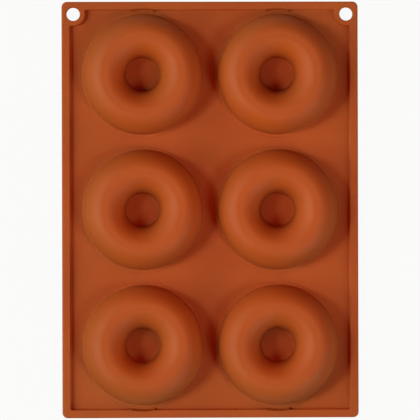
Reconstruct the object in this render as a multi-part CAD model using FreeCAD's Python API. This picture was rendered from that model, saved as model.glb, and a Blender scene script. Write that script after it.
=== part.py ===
import FreeCAD, Part
import math
import os

# Six-ring doughnut mould, moulded in one piece from silicone rubber.
# It lies on its open face: the face is at z = 0, the ring cavities open downwards, and the backs of
# the rings stand up towards +Z. The origin is the centre of the open face. +X runs across the two
# columns, and +Y along the three rows, towards the edge with the two hanging holes.
# Lengths are in millimetres and angles in degrees.

# Plate: a flat sheet with a raised rim round its back
plate_width = 178.0
plate_length = 250.0
corner_radius = 3.3
sheet_thickness = 2.0
rim_width = 4.9
rim_height = 3.0
rim_corner_radius = 1.0
rim_outer_round = 0.9
rim_inner_bevel = 0.5
face_edge_bevel = 0.5

# Hanging holes in the two corners of the +Y edge, each in a boss as high as the rim
hole_radius = 4.0
hole_side_inset = 7.0
hole_end_inset = 7.45
boss_wall = 3.1

# Pattern of the rings
column_count = 2
row_count = 3
column_pitch = 81.0
row_pitch = 81.3

# Back of one ring, measured on its section
ring_radius = 36.0
ring_height = 23.0
pit_radius = 10.0
crown_inner_radius = 22.0
crown_outer_radius = 24.3
side_height = 4.0
side_draft = 4.0
shoulder_fullness = 0.75
pit_foot_bevel = 0.5

# Cavity of one ring, behind a wall of even thickness
wall_thickness = 2.0
mouth_bevel = 0.8

# Straight facets that stand for each smooth shoulder
back_facets = 3
cavity_facets = 2

# Low collar round the foot of each ring, and the rim's clearance round it
collar_width = 2.0
collar_height = 0.4
relief_gap = 1.6

# How far a cutting shape runs past the face that it cuts through
cut_overrun = 1.0

# How near two lengths count as equal when edges are picked
pick_tolerance = 1e-4

rim_top = sheet_thickness + rim_height
crown_top = sheet_thickness + ring_height
boss_radius = hole_radius + boss_wall
collar_radius = ring_radius + collar_width
relief_radius = collar_radius + relief_gap


def ring_centres():
    """Centres of the rings on the open face, column by column."""
    first_x = -column_pitch * (column_count - 1) / 2
    first_y = -row_pitch * (row_count - 1) / 2
    centres = []
    for column in range(column_count):
        for row in range(row_count):
            centres.append(FreeCAD.Vector(first_x + column * column_pitch, first_y + row * row_pitch, 0))
    return centres


def hole_centres():
    """Centres of the two hanging holes on the open face."""
    x = plate_width / 2 - hole_side_inset
    y = plate_length / 2 - hole_end_inset
    return [FreeCAD.Vector(-x, y, 0), FreeCAD.Vector(x, y, 0)]


def upright_edges(shape):
    """Straight edges of the shape that run along Z."""
    picked = []
    for edge in shape.Edges:
        box = edge.BoundBox
        if box.XLength < pick_tolerance and box.YLength < pick_tolerance:
            picked.append(edge)
    return picked


def level_edges(shape, height, margin=0.0):
    """Edges of the shape that lie in the plane z = height, at least margin inside the plate's outline."""
    picked = []
    for edge in shape.Edges:
        box = edge.BoundBox
        level = abs(box.ZMin - height) < pick_tolerance and abs(box.ZMax - height) < pick_tolerance
        across = max(box.XMax, -box.XMin) < plate_width / 2 - margin + pick_tolerance
        along = max(box.YMax, -box.YMin) < plate_length / 2 - margin + pick_tolerance
        if level and across and along:
            picked.append(edge)
    return picked


def centred_box(width, length, bottom, top):
    """Box about the Z axis between two heights."""
    corner = FreeCAD.Vector(-width / 2, -length / 2, bottom)
    return Part.makeBox(width, length, top - bottom, corner)


def upright_cylinder(radius, centre, bottom, top):
    """Cylinder that stands on the given centre between two heights."""
    base = FreeCAD.Vector(centre.x, centre.y, bottom)
    return Part.makeCylinder(radius, top - bottom, base)


def plate_block():
    """Outer block of the plate up to the rim's top, with its corners and outer edges rounded."""
    block = centred_box(plate_width, plate_length, 0, rim_top)
    block = block.makeFillet(corner_radius, upright_edges(block))
    block = block.makeFillet(rim_outer_round, level_edges(block, rim_top))
    return block.makeChamfer(face_edge_bevel, level_edges(block, 0))


def back_pocket():
    """Space inside the rim: a box, widened round the end rings and notched by the hole bosses."""
    top = rim_top + cut_overrun
    box = centred_box(plate_width - 2 * rim_width, plate_length - 2 * rim_width, sheet_thickness, top)
    box = box.makeFillet(rim_corner_radius, upright_edges(box))
    reliefs = [upright_cylinder(relief_radius, centre, sheet_thickness, top) for centre in ring_centres()]
    bosses = [upright_cylinder(boss_radius, centre, sheet_thickness, top) for centre in hole_centres()]
    return box.fuse(reliefs).cut(Part.makeCompound(bosses)).removeSplitter().Solids[0]


def rimmed_sheet():
    """The sheet with its rim and bosses, the rim's inner edge bevelled, and an opening for each ring."""
    plate = plate_block().cut(back_pocket())
    plate = plate.makeChamfer(rim_inner_bevel, level_edges(plate, rim_top, rim_width / 2))
    openings = [upright_cylinder(collar_radius, centre, 0, rim_top) for centre in ring_centres()]
    drills = [upright_cylinder(hole_radius, centre, 0, rim_top) for centre in hole_centres()]
    return plate.cut(Part.makeCompound(openings + drills))


def section_point(radius, height):
    """Point of a ring's section, which is drawn in the XZ plane and turned about Z."""
    return FreeCAD.Vector(radius, 0, height)


def bend_points(start, apex, end, facets):
    """Points along a smooth bend from start to end, tangent there to the lines from the apex."""
    curve = Part.BezierCurve()
    curve.setPoles([start, apex, end])
    curve.setWeight(2, shoulder_fullness)
    return [curve.value(step / facets) for step in range(facets + 1)]


def side_point(foot_radius, outward, inset, height):
    """Point on a ring's drafted side, inset from the back's own surface, at a height.

    outward is 1 for the outer side, which leans inwards going up, and -1 for the pit's side.
    """
    lean = math.tan(math.radians(side_draft)) * (height - sheet_thickness)
    sideways = inset / math.cos(math.radians(side_draft))
    return section_point(foot_radius - outward * (lean + sideways), height)


def tube_points(inner_foot, outer_foot, crown_height, inset, facets):
    """Points of a ring's tube, from the foot at the pit over the crown to the outer foot.

    The feet are given as heights. inset is how far the line lies inside the back's own surface: 0,
    or the wall for the cavity.
    """
    side_top = sheet_thickness + side_height
    inner = [side_point(pit_radius, -1, inset, height) for height in (inner_foot, side_top, crown_height)]
    outer = [side_point(ring_radius, 1, inset, height) for height in (outer_foot, side_top, crown_height)]
    points = [inner[0]]
    points += bend_points(inner[1], inner[2], section_point(crown_inner_radius, crown_height), facets)
    points += bend_points(section_point(crown_outer_radius, crown_height), outer[2], outer[1], facets)
    return points + [outer[0]]


def turned_solid(points):
    """Solid made by turning a closed section about the Z axis."""
    face = Part.Face(Part.makePolygon(points + points[:1]))
    return face.revolve(FreeCAD.Vector(0, 0, 0), FreeCAD.Vector(0, 0, 1), 360)


def ring_back():
    """Solid body of one ring: pit floor, tube and collar, down to the open face."""
    collar_top = sheet_thickness + collar_height
    bevel_foot = section_point(pit_radius - pit_foot_bevel, sheet_thickness)
    tube = tube_points(sheet_thickness + pit_foot_bevel, collar_top, crown_top, 0, back_facets)
    collar = [section_point(collar_radius, collar_top), section_point(collar_radius, 0)]
    floor = [section_point(0, 0), section_point(0, sheet_thickness), bevel_foot]
    return turned_solid(floor + tube + collar)


def ring_cavity():
    """Hollow of one ring, which widens at its mouth and runs past the open face."""
    crown_height = crown_top - wall_thickness
    tube = tube_points(mouth_bevel, mouth_bevel, crown_height, wall_thickness, cavity_facets)
    flare = mouth_bevel + cut_overrun
    inner_mouth = section_point(tube[0].x - flare, -cut_overrun)
    outer_mouth = section_point(tube[-1].x + flare, -cut_overrun)
    return turned_solid([inner_mouth] + tube + [outer_mouth])


def doughnut_mould():
    """The whole mould as one solid."""
    shell = ring_back().cut(ring_cavity())
    rings = []
    for centre in ring_centres():
        ring = shell.copy()
        ring.translate(centre)
        rings.append(ring)
    return rimmed_sheet().fuse(rings).removeSplitter().Solids[0]


def main():
    """Write the mould to its file."""
    os.makedirs("parts", exist_ok=True)
    mould = doughnut_mould()
    mould.exportStep("parts/doughnut_mould.step")
    print("doughnut_mould", mould.isValid(), mould.ShapeType, round(mould.Volume), mould.BoundBox)


main()
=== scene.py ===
"""Looks of a six-ring doughnut mould, moulded in one piece from silicone rubber.

The mould lies on its open face, with the backs of its rings up, and is seen from straight above.
Its sections and outlines are worked out in millimetres and turned to metres as each mesh is made.
"""

import logging
import math
from dataclasses import dataclass, field, replace
from enum import Enum

import bmesh
import bpy
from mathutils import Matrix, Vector
from mathutils.geometry import delaunay_2d_cdt

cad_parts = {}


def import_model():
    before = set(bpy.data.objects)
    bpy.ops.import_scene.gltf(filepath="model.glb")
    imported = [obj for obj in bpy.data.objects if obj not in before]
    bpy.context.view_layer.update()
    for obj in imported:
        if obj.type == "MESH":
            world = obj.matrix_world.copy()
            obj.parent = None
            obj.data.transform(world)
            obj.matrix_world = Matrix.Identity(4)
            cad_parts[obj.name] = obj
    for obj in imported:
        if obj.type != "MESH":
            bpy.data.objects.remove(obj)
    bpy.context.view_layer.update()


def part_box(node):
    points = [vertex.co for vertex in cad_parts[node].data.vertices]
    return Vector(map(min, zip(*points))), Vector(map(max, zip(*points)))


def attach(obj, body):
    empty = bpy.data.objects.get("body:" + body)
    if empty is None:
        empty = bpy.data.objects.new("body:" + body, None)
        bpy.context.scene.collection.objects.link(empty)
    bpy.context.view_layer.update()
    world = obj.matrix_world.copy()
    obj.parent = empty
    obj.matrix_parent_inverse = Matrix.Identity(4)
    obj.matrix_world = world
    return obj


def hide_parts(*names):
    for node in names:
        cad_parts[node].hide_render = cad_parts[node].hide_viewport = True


LOG = logging.getLogger("doughnut_mould")

METRES_PER_MM = 0.001
NODE = "doughnut_mould"
BODY = "root"

# Sockets that share a name on their node, picked by number
MIX_COLOUR_A, MIX_COLOUR_B, MIX_COLOUR_RESULT = 6, 7, 2
COMPARE_WHOLE_A, COMPARE_WHOLE_B = 2, 3

Point = tuple[float, float]
Loop = list[int]


class Turn(Enum):
    """Which way an outline bends along an arc, walked with the enclosed area on the left."""

    OUTWARD = 1
    INWARD = -1


class Solid(Enum):
    """On which side of a swept wall the silicone is."""

    INSIDE_OUTLINE = 1
    OUTSIDE_OUTLINE = -1


class Skin(Enum):
    """The two sides of the mould, numbered as the material slots of its mesh."""

    BACK = 0
    CAVITY = 1


def linear_colour(code: str) -> tuple[float, float, float, float]:
    """Turn an sRGB colour into the linear values that shaders take.

    Args:
        code: The colour as a hex code, such as "#b25627".

    Returns:
        Linear red, green and blue, with an alpha of 1.
    """
    shares = [int(code[i : i + 2], 16) / 255 for i in (1, 3, 5)]
    linear = [s / 12.92 if s <= 0.04045 else ((s + 0.055) / 1.055) ** 2.4 for s in shares]
    return (*linear, 1.0)


def add_node(tree: bpy.types.NodeTree, kind: str, settings: dict, inputs: dict) -> bpy.types.Node:
    """Add one node with its settings and its inputs.

    Args:
        tree: The tree that gets the node.
        kind: The node's type name.
        settings: Properties of the node by name.
        inputs: For each input, by name or number, a value or the output that feeds it.

    Returns:
        The new node.
    """
    node = tree.nodes.new(kind)
    for name, value in settings.items():
        setattr(node, name, value)
    for key, value in inputs.items():
        if isinstance(value, bpy.types.NodeSocket):
            tree.links.new(value, node.inputs[key])
        else:
            node.inputs[key].default_value = value
    return node


def arc_points(centre: Point, radius: float, start: float, end: float, steps: int) -> list[Point]:
    """Points along an arc, both ends included.

    Args:
        centre: Centre of the arc.
        radius: Radius of the arc.
        start: Angle of the first point, in degrees.
        end: Angle of the last point, in degrees.
        steps: Number of equal steps.

    Returns:
        The points in order.
    """
    angles = [math.radians(start + (end - start) * i / steps) for i in range(steps + 1)]
    return [(centre[0] + radius * math.cos(a), centre[1] + radius * math.sin(a)) for a in angles]


def rounded_path(corners: list[tuple[float, float, float]], steps: int) -> list[Point]:
    """Walk a path of straight runs whose corners are rounded.

    Args:
        corners: Each corner's place and its rounding radius. A radius of 0 keeps the corner.
        steps: Number of steps in each rounding.

    Returns:
        The points of the path in order.
    """
    points: list[Point] = []
    for i, (x, y, radius) in enumerate(corners):
        if radius == 0 or i in (0, len(corners) - 1):
            points.append((x, y))
            continue
        here = Vector((x, y))
        back = (Vector(corners[i - 1][:2]) - here).normalized()
        ahead = (Vector(corners[i + 1][:2]) - here).normalized()
        half = back.angle(ahead) / 2
        centre = here + (back + ahead).normalized() * (radius / math.sin(half))
        first = here + back * (radius / math.tan(half)) - centre
        last = here + ahead * (radius / math.tan(half)) - centre
        sweep = first.angle_signed(last)
        for step in range(steps + 1):
            angle = -sweep * step / steps
            cos, sin = math.cos(angle), math.sin(angle)
            turned = Vector((first.x * cos - first.y * sin, first.x * sin + first.y * cos))
            points.append(tuple(centre + turned))
    return points


@dataclass(frozen=True)
class Arc:
    """One bend of a closed outline. Bends are joined by straight lines, to which they are tangent.

    The foot's reach is how far the foot of a sloping wall lies nearer to the arc's centre than its top.
    """

    centre: Point
    radius: float
    start: float
    end: float
    turn: Turn
    steps: int
    foot_reach: float = 0.0

    def points(self, outward: float, depth: float) -> list[Point]:
        """Points of the bend.

        Args:
            outward: How far the outline is moved outward.
            depth: How far down the wall, from 0 at its top to 1 at its foot.

        Returns:
            The points in order.
        """
        radius = self.radius + self.turn.value * outward - self.foot_reach * depth
        return arc_points(self.centre, radius, self.start, self.end, self.steps)

    def mirrored_across(self) -> "Arc":
        """The same bend on the other side of the YZ plane, walked the same way round."""
        x, y = self.centre
        return replace(self, centre=(-x, y), start=180 - self.end, end=180 - self.start)

    def mirrored_along(self) -> "Arc":
        """The same bend on the other side of the XZ plane, walked the same way round."""
        x, y = self.centre
        return replace(self, centre=(x, -y), start=-self.end, end=-self.start)


@dataclass
class Outline:
    """A closed outline of bends and straight lines, counter-clockwise as seen from above."""

    bends: list[Arc]

    def points(self, outward: float, depth: float) -> list[Point]:
        """Points of the outline, moved outward by a distance, at a share of the wall's depth."""
        return [point for bend in self.bends for point in bend.points(outward, depth)]


@dataclass
class MeshMaker:
    """Collects the vertices and faces of one mesh, in millimetres, and makes the object."""

    vertices: list[tuple[float, float, float]] = field(default_factory=list)
    faces: list[Loop] = field(default_factory=list)
    skins: list[Skin] = field(default_factory=list)

    def loop(self, points: list[Point], height: float) -> Loop:
        """Add a level row of vertices.

        Args:
            points: Places in the XY plane.
            height: Their common height.

        Returns:
            The numbers of the new vertices.
        """
        first = len(self.vertices)
        self.vertices += [(x, y, height) for x, y in points]
        return list(range(first, len(self.vertices)))

    def face(self, corners: Loop, skin: Skin) -> None:
        """Add one face, its corners counter-clockwise as seen from outside the solid."""
        self.faces.append(corners)
        self.skins.append(skin)

    def strip(self, lower: Loop, upper: Loop, skin: Skin) -> None:
        """Join two closed rows of equal length by a band of four-sided faces.

        Args:
            lower: The row whose own direction the faces keep.
            upper: The other row.
            skin: Which side of the mould the band belongs to.
        """
        count = len(lower)
        for i in range(count):
            ahead = (i + 1) % count
            self.face([lower[i], lower[ahead], upper[ahead], upper[i]], skin)

    def fan(self, rim: Loop, tip: int, skin: Skin) -> None:
        """Close a row of vertices by triangles to one vertex."""
        for i in range(len(rim)):
            self.face([rim[i], rim[(i + 1) % len(rim)], tip], skin)

    def level_area(self, loops: list[Loop], faces_up: bool, skin: Skin) -> None:
        """Fill a level area that has round openings, by triangles between its own vertices.

        Args:
            loops: The outer row of vertices first, then a row for each opening.
            faces_up: True where the solid is below the area.
            skin: Which side of the mould the area belongs to.
        """
        used = [number for loop in loops for number in loop]
        places = [Vector(self.vertices[number][:2]) for number in used]
        borders, first = [], 0
        for loop in loops:
            borders.append(list(range(first, first + len(loop))))
            first += len(loop)
        inside_with_openings = 2
        smallest_step = 1e-5
        result = delaunay_2d_cdt(places, [], borders, inside_with_openings, smallest_step)
        triangles, origins = result[2], result[3]
        for corners in triangles:
            numbers = [used[origins[corner][0]] for corner in corners]
            self.face(numbers if faces_up else numbers[::-1], skin)

    def make(self, name: str, merge_distance: float) -> bpy.types.Object:
        """Make the mesh object in metres, smooth, with coinciding vertices merged.

        Args:
            name: Name of the object and its mesh.
            merge_distance: Vertices nearer than this, in millimetres, become one.

        Returns:
            The new object, linked to the scene.
        """
        mesh = bpy.data.meshes.new(name)
        places = [Vector(vertex) * METRES_PER_MM for vertex in self.vertices]
        mesh.from_pydata(places, [], self.faces)
        mesh.polygons.foreach_set("material_index", [skin.value for skin in self.skins])
        work = bmesh.new()
        work.from_mesh(mesh)
        bmesh.ops.remove_doubles(work, verts=work.verts[:], dist=merge_distance * METRES_PER_MM)
        for face in work.faces:
            face.smooth = True
        work.to_mesh(mesh)
        work.free()
        piece = bpy.data.objects.new(name, mesh)
        bpy.context.scene.collection.objects.link(piece)
        return piece


@dataclass(frozen=True)
class Ring:
    """One ring of the mould: the back that stands up, the pit in its middle and the cavity below.

    Lengths are in millimetres and the draft is in degrees.
    """

    outer_radius: float = 36.0
    pit_radius: float = 10.0
    sheet: float = 2.0
    height: float = 23.0
    crown_inner_radius: float = 22.0
    crown_outer_radius: float = 24.3
    side_height: float = 4.0
    side_draft: float = 4.0
    shoulder_fullness: float = 0.75
    wall: float = 2.0
    pit_foot_round: float = 0.8
    outer_foot_round: float = 0.6
    mouth_round: float = 1.0
    collar_width: float = 2.0
    collar_height: float = 0.4
    collar_round: float = 0.2
    sectors: int = 120
    shoulder_steps: int = 14
    round_steps: int = 4

    @property
    def collar_radius(self) -> float:
        """Radius at which the collar's edge meets the sheet."""
        return self.outer_radius + self.collar_width

    def side(self, height: float, inset: float, outer: bool) -> float:
        """Radius of a drafted side of the tube.

        Args:
            height: Height over the open face.
            inset: How far the line lies inside the back's surface.
            outer: True for the outer side, False for the side at the pit.

        Returns:
            The side's radius at that height.
        """
        draft = math.radians(self.side_draft)
        inward = inset / math.cos(draft) + (height - self.sheet) * math.tan(draft)
        return self.outer_radius - inward if outer else self.pit_radius + inward

    def shoulder(self, inset: float, outer: bool) -> list[Point]:
        """Points of the bend between a side and the crown.

        Args:
            inset: How far the bend lies inside the back's surface.
            outer: True for the outer shoulder, False for the one at the pit.

        Returns:
            Radius and height of each point, from the side up to the crown.
        """
        foot = self.sheet + self.side_height
        top = self.sheet + self.height - inset
        crown = self.crown_outer_radius if outer else self.crown_inner_radius
        corners = [(self.side(foot, inset, outer), foot), (self.side(top, inset, outer), top), (crown, top)]
        points = []
        for step in range(self.shoulder_steps + 1):
            t = step / self.shoulder_steps
            shares = [(1 - t) ** 2, 2 * self.shoulder_fullness * t * (1 - t), t**2]
            total = sum(shares)
            radius = sum(share * corner[0] for share, corner in zip(shares, corners)) / total
            height = sum(share * corner[1] for share, corner in zip(shares, corners)) / total
            points.append((radius, height))
        return points

    def back_section(self) -> list[Point]:
        """Section of the ring's back.

        Returns:
            Radius and height of each point, from the middle of the pit out to the sheet.
        """
        inner = self.shoulder(0, outer=False)
        outer = self.shoulder(0, outer=True)[::-1]
        pit_corner = (self.side(self.sheet, 0, outer=False), self.sheet, self.pit_foot_round)
        pit = rounded_path([(0, self.sheet, 0), pit_corner, (*inner[0], 0)], self.round_steps)
        top = self.sheet + self.collar_height
        foot_corner = (self.side(top, 0, outer=True), top, self.outer_foot_round)
        collar_corner = (self.collar_radius, top, self.collar_round)
        collar_end = (self.collar_radius, self.sheet, 0)
        foot = rounded_path([(*outer[-1], 0), foot_corner, collar_corner, collar_end], self.round_steps)
        return pit[:-1] + inner + outer + foot[1:]

    def cavity_section(self) -> list[Point]:
        """Section of the cavity.

        Returns:
            Radius and height of each point, from the middle of the pillar's end out to the open face.
        """
        inner = self.shoulder(self.wall, outer=False)
        outer = self.shoulder(self.wall, outer=True)[::-1]
        pillar_corner = (self.side(0, self.wall, outer=False), 0, self.mouth_round)
        pillar = rounded_path([(0, 0, 0), pillar_corner, (*inner[0], 0)], self.round_steps)
        mouth_corner = (self.side(0, self.wall, outer=True), 0, self.mouth_round)
        mouth = rounded_path([(*outer[-1], 0), mouth_corner, (self.collar_radius, 0, 0)], self.round_steps)
        return pillar[:-1] + inner + outer + mouth[1:-1]

    def circle(self, centre: Point, radius: float) -> list[Point]:
        """Points of a full circle, one for each sector of the ring."""
        return arc_points(centre, radius, 0, 360, self.sectors)[:-1]

    def turned(self, maker: MeshMaker, section: list[Point], skin: Skin) -> None:
        """Turn a section about the ring's axis.

        Args:
            maker: Takes the vertices and faces.
            section: Radius and height of each point, from the axis outwards.
            skin: Which side of the mould the surface is.
        """
        up = skin is Skin.BACK
        tip = maker.loop([(0.0, 0.0)], section[0][1])[0]
        rows = [maker.loop(self.circle((0.0, 0.0), radius), height) for radius, height in section[1:]]
        maker.fan(rows[0] if up else rows[0][::-1], tip, skin)
        for inner, outer in zip(rows, rows[1:]):
            lower, upper = (outer, inner) if up else (inner, outer)
            maker.strip(lower, upper, skin)

    def build(self, merge_distance: float) -> bpy.types.Object:
        """Make the two skins of one ring about the Z axis.

        Args:
            merge_distance: Vertices nearer than this, in millimetres, become one.

        Returns:
            The ring, open between its two skins where the plate joins it.
        """
        maker = MeshMaker()
        self.turned(maker, self.back_section(), Skin.BACK)
        self.turned(maker, self.cavity_section(), Skin.CAVITY)
        return maker.make("one_ring", merge_distance)


@dataclass
class Pattern:
    """Places of the rings on the sheet."""

    columns: int = 2
    rows: int = 3
    column_pitch: float = 81.0
    row_pitch: float = 81.3

    @property
    def half_width(self) -> float:
        """Distance from the middle to the outer columns."""
        return (self.columns - 1) * self.column_pitch / 2

    @property
    def half_length(self) -> float:
        """Distance from the middle to the outer rows."""
        return (self.rows - 1) * self.row_pitch / 2

    def centres(self) -> list[Point]:
        """Centres of all the rings."""
        return [(-self.half_width + column * self.column_pitch, -self.half_length + row * self.row_pitch)
                for column in range(self.columns) for row in range(self.rows)]

    def tree(self) -> bpy.types.NodeTree:
        """Node tree that sets a copy of its ring on each point of a grid.

        Returns:
            The tree, with the grid's numbers and pitches as named inputs.
        """
        tree = bpy.data.node_groups.new("ring_pattern", "GeometryNodeTree")
        face = tree.interface
        face.new_socket("Ring", in_out="INPUT", socket_type="NodeSocketGeometry")
        for name, kind in (("Columns", "NodeSocketInt"), ("Rows", "NodeSocketInt"),
                           ("Column pitch", "NodeSocketFloat"), ("Row pitch", "NodeSocketFloat"),
                           ("Finish", "NodeSocketMaterial")):
            face.new_socket(name, in_out="INPUT", socket_type=kind)
        face.new_socket("Rings", in_out="OUTPUT", socket_type="NodeSocketGeometry")
        start = tree.nodes.new("NodeGroupInput").outputs
        spans = []
        for count, pitch in (("Columns", "Column pitch"), ("Rows", "Row pitch")):
            gaps = add_node(tree, "ShaderNodeMath", {"operation": "SUBTRACT"}, {0: start[count], 1: 1.0})
            span = add_node(tree, "ShaderNodeMath", {"operation": "MULTIPLY"},
                            {0: gaps.outputs[0], 1: start[pitch]})
            spans.append(span.outputs[0])
        grid = add_node(tree, "GeometryNodeMeshGrid", {}, {
            "Size X": spans[0], "Size Y": spans[1],
            "Vertices X": start["Columns"], "Vertices Y": start["Rows"]})
        spots = add_node(tree, "GeometryNodeMeshToPoints", {}, {"Mesh": grid.outputs["Mesh"]})
        copies = add_node(tree, "GeometryNodeInstanceOnPoints", {}, {
            "Points": spots.outputs["Points"], "Instance": start["Ring"]})
        real = add_node(tree, "GeometryNodeRealizeInstances", {}, {"Geometry": copies.outputs["Instances"]})
        skin = add_node(tree, "GeometryNodeInputMaterialIndex", {}, {})
        back_only = add_node(tree, "FunctionNodeCompare", {"data_type": "INT", "operation": "EQUAL"},
                             {COMPARE_WHOLE_A: skin.outputs[0], COMPARE_WHOLE_B: Skin.BACK.value})
        dressed = add_node(tree, "GeometryNodeSetMaterial", {}, {
            "Geometry": real.outputs["Geometry"], "Material": start["Finish"],
            "Selection": back_only.outputs[0]})
        add_node(tree, "NodeGroupOutput", {}, {"Rings": dressed.outputs["Geometry"]})
        return tree

    def spread(self, ring: bpy.types.Object, finish: bpy.types.Material) -> bpy.types.Object:
        """Set copies of a ring over the whole pattern, as one plain mesh.

        Args:
            ring: The ring about the Z axis. It is removed afterwards.
            finish: Material of the rings' backs.

        Returns:
            A new object with all the rings in place.
        """
        tree = self.tree()
        sizes = {"Columns": self.columns, "Rows": self.rows, "Finish": finish,
                 "Column pitch": self.column_pitch * METRES_PER_MM,
                 "Row pitch": self.row_pitch * METRES_PER_MM}
        modifier = ring.modifiers.new("ring_pattern", "NODES")
        modifier.node_group = tree
        for item in tree.interface.items_tree:
            if item.in_out == "INPUT" and item.name in sizes:
                modifier[item.identifier] = sizes[item.name]
        graph = bpy.context.evaluated_depsgraph_get()
        mesh = bpy.data.meshes.new_from_object(ring.evaluated_get(graph), depsgraph=graph)
        ring.modifiers.remove(modifier)
        bpy.data.objects.remove(ring)
        rings = bpy.data.objects.new("rings", mesh)
        bpy.context.scene.collection.objects.link(rings)
        return rings


@dataclass
class Plate:
    """The flat sheet with its rim, the two hanging holes and the openings that the rings fill.

    Lengths are in millimetres.
    """

    width: float
    length: float
    ring: Ring
    pattern: Pattern
    corner_radius: float = 3.3
    rim_width: float = 4.9
    rim_height: float = 3.0
    rim_outer_round: float = 0.9
    rim_inner_round: float = 0.5
    rim_foot_round: float = 0.6
    face_edge_round: float = 0.6
    inner_corner_radius: float = 1.0
    boss_blend_radius: float = 0.8
    relief_gap: float = 1.6
    relief_blend_radius: float = 0.6
    relief_foot_reach: float = 0.9
    hole_radius: float = 4.0
    hole_side_inset: float = 7.0
    hole_end_inset: float = 7.45
    hole_edge_round: float = 0.5
    hole_steps: int = 48
    boss_wall: float = 3.1
    round_steps: int = 5
    bend_steps: int = 12

    @property
    def rim_top(self) -> float:
        """Height of the rim's top over the open face."""
        return self.ring.sheet + self.rim_height

    @property
    def hole(self) -> Point:
        """Centre of the hole in the +X corner."""
        return self.width / 2 - self.hole_side_inset, self.length / 2 - self.hole_end_inset

    def outer_outline(self) -> Outline:
        """Outline of the whole plate.

        Returns:
            The outline, with its four rounded corners.
        """
        x = self.width / 2 - self.corner_radius
        y = self.length / 2 - self.corner_radius
        right_top = Arc((x, y), self.corner_radius, 0, 90, Turn.OUTWARD, self.bend_steps)
        left_top = right_top.mirrored_across()
        return Outline([right_top, left_top, left_top.mirrored_along(), right_top.mirrored_along()])

    def relief(self) -> list[Arc]:
        """Bends of the rim's inner wall where it gives way to the collar of the +X, +Y ring.

        Returns:
            The long bend round the collar, between the two small ones that lead into it.
        """
        x, y = self.pattern.half_width, self.pattern.half_length
        radius = self.ring.collar_radius + self.relief_gap
        blend = self.relief_blend_radius
        wall_y = self.length / 2 - self.rim_width
        rise = wall_y + blend - y
        reach = math.sqrt((radius + blend) ** 2 - rise**2)
        lean = math.degrees(math.atan2(rise, reach))
        return [
            Arc((x + reach, wall_y + blend), blend, 270, 180 + lean, Turn.INWARD, self.round_steps),
            Arc((x, y), radius, lean, 180 - lean, Turn.OUTWARD, self.bend_steps, self.relief_foot_reach),
            Arc((x - reach, wall_y + blend), blend, 360 - lean, 270, Turn.INWARD, self.round_steps),
        ]

    def boss(self) -> list[Arc]:
        """Bends of the rim's inner wall round the boss of the +X hole.

        Returns:
            The bend round the boss, between the two small ones that lead into it.
        """
        x, y = self.hole
        radius = self.hole_radius + self.boss_wall
        blend = self.boss_blend_radius
        reach = radius + blend
        side_x = self.width / 2 - self.rim_width - blend
        side_y = y - math.sqrt(reach**2 - (side_x - x) ** 2)
        end_y = self.length / 2 - self.rim_width - blend
        end_x = x - math.sqrt(reach**2 - (end_y - y) ** 2)
        from_side = math.degrees(math.atan2(y - side_y, x - side_x))
        to_end = math.degrees(math.atan2(end_y - y, end_x - x))
        return [
            Arc((side_x, side_y), blend, 0, from_side, Turn.OUTWARD, self.round_steps),
            Arc((x, y), radius, from_side + 180, to_end, Turn.INWARD, self.bend_steps),
            Arc((end_x, end_y), blend, to_end - 180, 90, Turn.OUTWARD, self.round_steps),
        ]

    def pocket_outline(self) -> Outline:
        """Outline of the rim's inner wall.

        Returns:
            The outline, whose left half mirrors its right half.
        """
        corner_x = self.width / 2 - self.rim_width - self.inner_corner_radius
        corner_y = self.length / 2 - self.rim_width - self.inner_corner_radius
        corner = Arc((corner_x, -corner_y), self.inner_corner_radius, -90, 0, Turn.OUTWARD, self.round_steps)
        top = self.relief()
        bottom = [bend.mirrored_along() for bend in top[::-1]]
        right = bottom + [corner] + self.boss() + top
        return Outline(right + [bend.mirrored_across() for bend in right[::-1]])

    def hole_outline(self, x: float) -> Outline:
        """Outline of a hanging hole.

        Args:
            x: Place of the hole's centre across the plate.

        Returns:
            The outline, a full circle.
        """
        last_angle = 360 - 360 / self.hole_steps
        circle = Arc((x, self.hole[1]), self.hole_radius, 0, last_angle, Turn.OUTWARD, self.hole_steps - 1)
        return Outline([circle])

    def wall_section(self, foot_round: float, foot: float, top_round: float, solid: Solid) -> list[Point]:
        """Section of an upright wall that ends at the rim's top, with both its ends rounded.

        Args:
            foot_round: Rounding at the wall's foot.
            foot: Height of the foot.
            top_round: Rounding at the wall's top.
            solid: On which side the silicone is.

        Returns:
            Outward shift and height of each point, from the foot up.
        """
        top = self.rim_top
        if solid is Solid.INSIDE_OUTLINE:
            lower = arc_points((-foot_round, foot + foot_round), foot_round, -90, 0, self.round_steps)
            upper = arc_points((-top_round, top - top_round), top_round, 0, 90, self.round_steps)
        else:
            lower = arc_points((foot_round, foot + foot_round), foot_round, 270, 180, self.round_steps)
            upper = arc_points((top_round, top - top_round), top_round, 180, 90, self.round_steps)
        return lower + upper

    def pocket_section(self) -> list[Point]:
        """Section of the rim's inner wall.

        Returns:
            Outward shift and height of each point, from the sheet up to the rim's top.
        """
        foot, edge = self.rim_foot_round, self.rim_inner_round
        lower = arc_points((-foot, self.ring.sheet + foot), foot, 270, 360, self.round_steps)
        return lower + arc_points((edge, self.rim_top - edge), edge, 180, 90, self.round_steps)

    def swept(self, maker: MeshMaker, outline: Outline, section: list[Point],
              solid: Solid) -> tuple[Loop, Loop]:
        """Sweep a wall's section along an outline.

        Args:
            maker: Takes the vertices and faces.
            outline: The outline to follow.
            section: Outward shift and height of each point, from the foot up.
            solid: On which side the silicone is.

        Returns:
            The lowest and the highest row of vertices.
        """
        rows = []
        for outward, height in section:
            depth = (self.rim_top - height) / self.rim_height
            rows.append(maker.loop(outline.points(outward, depth), height))
        for lower, upper in zip(rows, rows[1:]):
            if solid is Solid.INSIDE_OUTLINE:
                maker.strip(lower, upper, Skin.BACK)
            else:
                maker.strip(upper, lower, Skin.BACK)
        return rows[0], rows[-1]

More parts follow.
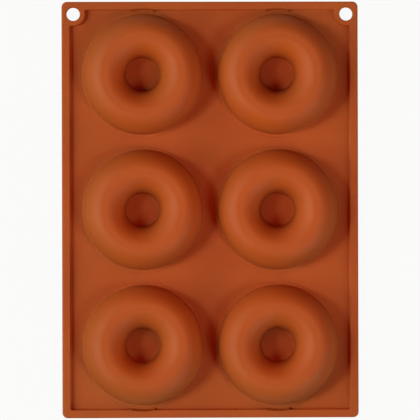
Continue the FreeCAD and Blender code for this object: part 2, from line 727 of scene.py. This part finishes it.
    def build(self, merge_distance: float) -> bpy.types.Object:
        """Make the plate, open where the rings go.

        Args:
            merge_distance: Vertices nearer than this, in millimetres, become one.

        Returns:
            The plate.
        """
        maker = MeshMaker()
        sheet = self.ring.sheet
        inside, outside = Solid.INSIDE_OUTLINE, Solid.OUTSIDE_OUTLINE
        edge_section = self.wall_section(self.face_edge_round, 0.0, self.rim_outer_round, inside)
        edge_low, edge_high = self.swept(maker, self.outer_outline(), edge_section, inside)
        pocket_low, pocket_high = self.swept(maker, self.pocket_outline(), self.pocket_section(), outside)
        bore_section = self.wall_section(self.hole_edge_round, 0.0, self.hole_edge_round, outside)
        bores = [self.swept(maker, self.hole_outline(x), bore_section, outside)
                 for x in (self.hole[0], -self.hole[0])]
        mouth_radius = self.ring.cavity_section()[-1][0]
        collars, mouths = [], []
        for centre in self.pattern.centres():
            collars.append(maker.loop(self.ring.circle(centre, self.ring.collar_radius), sheet))
            mouths.append(maker.loop(self.ring.circle(centre, mouth_radius), 0.0))
        maker.level_area([edge_high, pocket_high] + [high for _, high in bores], True, Skin.BACK)
        maker.level_area([pocket_low] + collars, True, Skin.BACK)
        maker.level_area([edge_low] + mouths + [low for low, _ in bores], False, Skin.CAVITY)
        return maker.make("plate", merge_distance)


@dataclass(frozen=True)
class SiliconeFinish:
    """Platinum-cured silicone rubber as it leaves a blasted steel tool.

    The blasted grain spreads the gloss wide and soft, so crowns turn paler without a clear highlight,
    and light that enters a thin edge comes out redder.
    """

    name: str = "silicone_moulded_satin"
    colour: str = "#ab5212"
    shade: str = "#a0490e"
    # The pigment is mixed in unevenly and clouds the colour over about this distance
    cloud_mm: float = 22.0
    roughness: float = 0.66
    roughness_spread: float = 0.05
    ior: float = 1.41
    gloss_level: float = 0.7
    # Light goes this deep into the rubber, and red goes deeper than green and blue
    depth_mm: float = 1.2
    depth_weight: float = 0.12
    depth_shares: tuple[float, float, float] = (1.0, 0.25, 0.08)
    # The tool's grain is finer than 0.1 mm, and is drawn as coarse as it needs to be to show
    grain_mm: float = 0.8
    grain_height_mm: float = 0.012

    def material(self) -> bpy.types.Material:
        """Make the material.

        Returns:
            The material, whose patterns follow the object's own place.
        """
        material = bpy.data.materials.new(self.name)
        material.use_nodes = True
        tree = material.node_tree
        shader = tree.nodes["Principled BSDF"]
        place = add_node(tree, "ShaderNodeTexCoord", {}, {}).outputs["Object"]
        cloud = add_node(tree, "ShaderNodeTexNoise", {}, {
            "Vector": place, "Scale": 1 / (self.cloud_mm * METRES_PER_MM), "Detail": 3.0})
        tint = add_node(tree, "ShaderNodeMix", {"data_type": "RGBA"}, {
            "Factor": cloud.outputs["Fac"],
            MIX_COLOUR_A: linear_colour(self.colour), MIX_COLOUR_B: linear_colour(self.shade)})
        grain = add_node(tree, "ShaderNodeTexNoise", {}, {
            "Vector": place, "Scale": 1 / (self.grain_mm * METRES_PER_MM), "Detail": 2.0})
        gloss = add_node(tree, "ShaderNodeMapRange", {}, {
            "Value": cloud.outputs["Fac"], "To Min": self.roughness - self.roughness_spread,
            "To Max": self.roughness + self.roughness_spread})
        bump = add_node(tree, "ShaderNodeBump", {}, {
            "Height": grain.outputs["Fac"], "Strength": 1.0,
            "Distance": self.grain_height_mm * METRES_PER_MM})
        tree.links.new(tint.outputs[MIX_COLOUR_RESULT], shader.inputs["Base Color"])
        tree.links.new(gloss.outputs["Result"], shader.inputs["Roughness"])
        tree.links.new(bump.outputs["Normal"], shader.inputs["Normal"])
        shader.inputs["IOR"].default_value = self.ior
        shader.inputs["Specular IOR Level"].default_value = self.gloss_level
        shader.inputs["Subsurface Weight"].default_value = self.depth_weight
        shader.inputs["Subsurface Radius"].default_value = self.depth_shares
        shader.inputs["Subsurface Scale"].default_value = self.depth_mm * METRES_PER_MM
        return material


@dataclass
class Mould:
    """The whole mould: its plate and its rings as one closed skin.

    The merge distance is in millimetres.
    """

    plate: Plate
    merge_distance: float = 0.002
    cavity_roughness: float = 0.3

    def build(self) -> bpy.types.Object:
        """Make the mould and dress both of its sides.

        Returns:
            The finished piece, which stands for the solid in the frame.
        """
        back = SiliconeFinish().material()
        # The tool is polished where the dough lies, so that the doughnuts come out clean
        cavity = SiliconeFinish(name="silicone_polished_cavity", roughness=self.cavity_roughness).material()
        ring = self.plate.ring.build(self.merge_distance)
        for finish in (back, cavity):
            ring.data.materials.append(finish)
        rings = self.plate.pattern.spread(ring, back)
        plate = self.plate.build(self.merge_distance)
        for finish in (back, cavity):
            plate.data.materials.append(finish)
        piece = self.joined(plate, rings)
        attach(piece, BODY)
        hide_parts(NODE)
        return piece

    def joined(self, plate: bpy.types.Object, rings: bpy.types.Object) -> bpy.types.Object:
        """Weld the rings into the plate's openings.

        Args:
            plate: The plate, which becomes the whole mould.
            rings: All the rings in place. The object is used up.

        Returns:
            The welded object.
        """
        work = bmesh.new()
        work.from_mesh(plate.data)
        work.from_mesh(rings.data)
        bpy.data.objects.remove(rings)
        bmesh.ops.remove_doubles(work, verts=work.verts[:], dist=self.merge_distance * METRES_PER_MM)
        open_edges = [edge for edge in work.edges if not edge.is_manifold]
        cubic_cm = work.calc_volume(signed=True) / (10 * METRES_PER_MM) ** 3
        LOG.info("mould: %d vertices, %d faces, %d open edges, volume %.1f cm3", len(work.verts),
                 len(work.faces), len(open_edges), cubic_cm)
        work.to_mesh(plate.data)
        work.free()
        plate.name = plate.data.name = "mould_body"
        self.level_normals(plate.data)
        return plate

    def level_normals(self, mesh: bpy.types.Mesh) -> None:
        """Shade level areas as level: a vertex on one takes that area's own direction.

        Args:
            mesh: The mesh to shade.
        """
        level = 0.9999
        normals = [vertex.normal.copy() for vertex in mesh.vertices]
        for face in mesh.polygons:
            if abs(face.normal.z) > level:
                for number in face.vertices:
                    normals[number] = Vector((0.0, 0.0, math.copysign(1.0, face.normal.z)))
        mesh.normals_split_custom_set_from_vertices(normals)


@dataclass(frozen=True)
class PaperFinish:
    """Matt white paper under the mould.

    The camera sees it as a nearly plain white ground, and the share that is still lit paper carries the
    mould's faint shadow. The mould itself only gets the light that the paper sends back.
    """

    name: str = "matt_white_paper"
    colour: str = "#a8a8a8"
    roughness: float = 0.9
    plain_share: float = 0.94

    def material(self) -> bpy.types.Material:
        """Make the material.

        Returns:
            The material of the floor.
        """
        material = bpy.data.materials.new(self.name)
        material.use_nodes = True
        tree = material.node_tree
        paper = tree.nodes["Principled BSDF"]
        paper.inputs["Base Color"].default_value = linear_colour(self.colour)
        paper.inputs["Roughness"].default_value = self.roughness
        glow = add_node(tree, "ShaderNodeEmission", {}, {"Color": (1, 1, 1, 1), "Strength": 1.0})
        rays = add_node(tree, "ShaderNodeLightPath", {}, {})
        shown = add_node(tree, "ShaderNodeMath", {"operation": "MULTIPLY"},
                         {0: rays.outputs["Is Camera Ray"], 1: self.plain_share})
        mix = add_node(tree, "ShaderNodeMixShader", {}, {
            0: shown.outputs[0], 1: paper.outputs[0], 2: glow.outputs[0]})
        tree.links.new(mix.outputs[0], tree.nodes["Material Output"].inputs["Surface"])
        return material


@dataclass(frozen=True)
class Lamp:
    """One round soft box, turned to the middle of the mould and unseen by the camera.

    Azimuth and elevation are in degrees, distance and size in metres and power in watts.
    """

    name: str
    azimuth: float
    elevation: float
    distance: float
    size: float
    power: float
    colour: str = "#fffde0"

    def build(self) -> None:
        """Hang the lamp and turn it to the middle of the mould."""
        light = bpy.data.lights.new(self.name, "AREA")
        light.shape = "DISK"
        light.size = self.size
        light.energy = self.power
        light.color = linear_colour(self.colour)[:3]
        lamp = bpy.data.objects.new(self.name, light)
        lamp.visible_camera = False
        bpy.context.scene.collection.objects.link(lamp)
        turn, rise = math.radians(self.azimuth), math.radians(self.elevation)
        towards = Vector((math.cos(turn) * math.cos(rise), math.sin(turn) * math.cos(rise), math.sin(rise)))
        lamp.location = towards * self.distance
        lamp.rotation_euler = towards.to_track_quat("Z", "Y").to_euler()


# The keys stand on the left, low enough for the rings to shade the sheet on their right. Weaker lamps
# fill in from the other sides, and the two warm ones redden the pits and the steep walls.
LAMPS = (
    Lamp("key_high", 180, 50, 4.0, 0.9, 56),
    Lamp("key_middle", 200, 35, 4.0, 1.2, 30),
    Lamp("key_low", 180, 22, 4.0, 1.75, 49),
    Lamp("side_high", 330, 55, 4.0, 0.9, 27),
    Lamp("side_low", 315, 22, 4.0, 1.75, 48),
    Lamp("back_low", 135, 22, 4.0, 1.75, 25),
    Lamp("warm_low", 45, 22, 4.0, 1.75, 24, "#ff9663"),
    Lamp("warm_near", 0, 88, 0.25, 0.2, 0.19, "#ff6130"),
)


@dataclass
class Studio:
    """Floor, background, lamps and camera.

    Lengths are in metres unless their names say otherwise, and the roll is in degrees.
    """

    image_pixels: int = 420
    mm_per_pixel: float = 0.6017
    camera_height: float = 2.5
    camera_left: float = 0.065
    camera_roll: float = -0.15
    sensor_mm: float = 36.0
    floor_half: float = 1.5

    def build(self) -> None:
        """Set up everything that is not the mould."""
        self.floor()
        self.world()
        for lamp in LAMPS:
            lamp.build()
        self.camera()

    def floor(self) -> None:
        """Lay a plain pale floor under the mould."""
        half = self.floor_half
        mesh = bpy.data.meshes.new("floor")
        corners = [(-half, -half, 0), (half, -half, 0), (half, half, 0), (-half, half, 0)]
        mesh.from_pydata(corners, [], [(0, 1, 2, 3)])
        mesh.materials.append(PaperFinish().material())
        floor = bpy.data.objects.new("floor", mesh)
        bpy.context.scene.collection.objects.link(floor)

    def world(self) -> None:
        """Show plain white beyond the floor to the camera, and give no light."""
        world = bpy.data.worlds.new("white_beyond")
        bpy.context.scene.world = world
        world.use_nodes = True
        tree = world.node_tree
        background = tree.nodes["Background"]
        background.inputs["Color"].default_value = (1, 1, 1, 1)
        rays = add_node(tree, "ShaderNodeLightPath", {}, {})
        tree.links.new(rays.outputs["Is Camera Ray"], background.inputs["Strength"])

    def camera(self) -> None:
        """Aim a camera at the mould from above, a little to its left, with the +Y edge at the top."""
        field_width = self.image_pixels * self.mm_per_pixel * METRES_PER_MM
        data = bpy.data.cameras.new("camera")
        data.sensor_width = self.sensor_mm
        data.lens = self.sensor_mm * self.camera_height / field_width
        data.clip_end = 2 * self.camera_height
        camera = bpy.data.objects.new("camera", data)
        bpy.context.scene.collection.objects.link(camera)
        camera.location = (-self.camera_left, 0.0, self.camera_height)
        lean = math.atan(self.camera_left / self.camera_height)
        camera.rotation_euler = (0.0, -lean, math.radians(self.camera_roll))
        bpy.context.scene.camera = camera


def main() -> None:
    """Build the mould and its studio."""
    logging.basicConfig(level=logging.INFO, format="%(name)s: %(message)s")
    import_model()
    low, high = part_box(NODE)
    size = (high - low) / METRES_PER_MM
    plate = Plate(width=size.x, length=size.y, ring=Ring(), pattern=Pattern())
    Mould(plate).build()
    LOG.info("built the mould, %.1f by %.1f by %.1f mm", *size)
    Studio().build()
    LOG.info("built the floor, the lamps and the camera")
    bpy.context.scene.view_settings.view_transform = "Standard"


if __name__ == "__main__":
    main()
